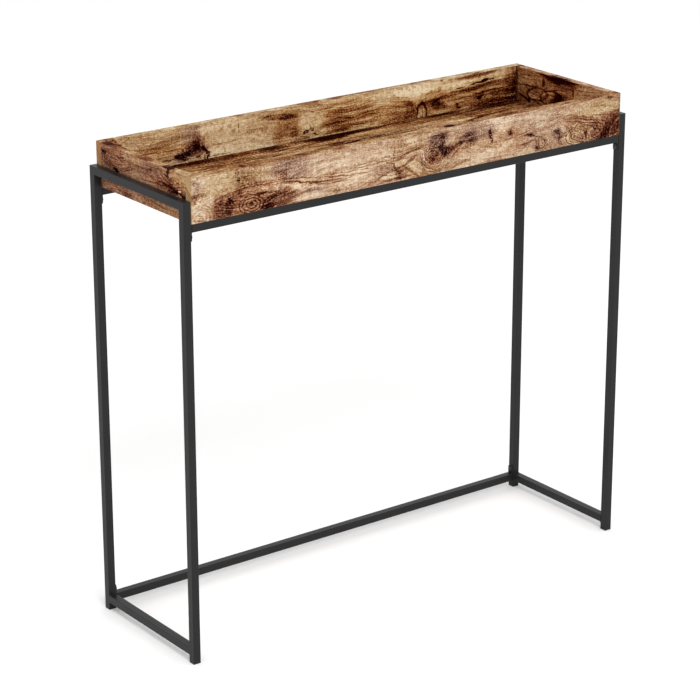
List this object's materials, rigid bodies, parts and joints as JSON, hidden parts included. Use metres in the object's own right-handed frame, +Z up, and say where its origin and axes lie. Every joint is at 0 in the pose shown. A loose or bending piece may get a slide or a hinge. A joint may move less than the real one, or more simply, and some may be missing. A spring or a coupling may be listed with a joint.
{
  "type": "console table",
  "caption": "Narrow console table: a boxed wooden tray top with raised edges, held between two welded square-tube end frames joined by bolted rails.",
  "frame": {"origin": "on the floor, under the centre of the table", "axes": "+X along the table, +Y towards the wall side, where the lower rail is, +Z up"},
  "size_m": [1.016, 0.305, 0.913],
  "materials": {
    "frame_steel": "charcoal powder coat, fine satin",
    "board_wood": "printed reclaimed-wood laminate, satin",
    "edging": "wood-print edge band, satin",
    "dowel_wood": "raw beech",
    "black_bolt": "black zinc",
    "zinc_steel": "zinc plated",
    "foot_plastic": "black moulded plastic"
  },
  "bodies": {
    "root": {"left_front_leg": "frame_steel", "left_rear_leg": "frame_steel", "left_top_bar": "frame_steel", "left_lower_bar": "frame_steel", "right_front_leg": "frame_steel", "right_rear_leg": "frame_steel", "right_top_bar": "frame_steel", "right_lower_bar": "frame_steel", "left_front_foot": "foot_plastic", "left_rear_foot": "foot_plastic", "right_front_foot": "foot_plastic", "right_rear_foot": "foot_plastic", "front_upper_rail": "frame_steel", "rear_upper_rail": "frame_steel", "rear_lower_rail": "frame_steel", "front_upper_rail_left_plate": "frame_steel", "front_upper_rail_right_plate": "frame_steel", "rear_upper_rail_left_plate": "frame_steel", "rear_upper_rail_right_plate": "frame_steel", "rear_lower_rail_left_plate": "frame_steel", "rear_lower_rail_right_plate": "frame_steel", "frame_bolts": "black_bolt", "frame_rivet_nuts": "zinc_steel", "tray_front_board": "board_wood", "tray_rear_board": "board_wood", "tray_left_board": "board_wood", "tray_right_board": "board_wood", "tray_floor": "board_wood", "tray_front_edging": "edging", "tray_rear_edging": "edging", "tray_left_edging": "edging", "tray_right_edging": "edging", "tray_corner_dowels": "dowel_wood", "tray_floor_dowels": "dowel_wood", "tray_screws": "zinc_steel"}
  },
  "joints": []
}
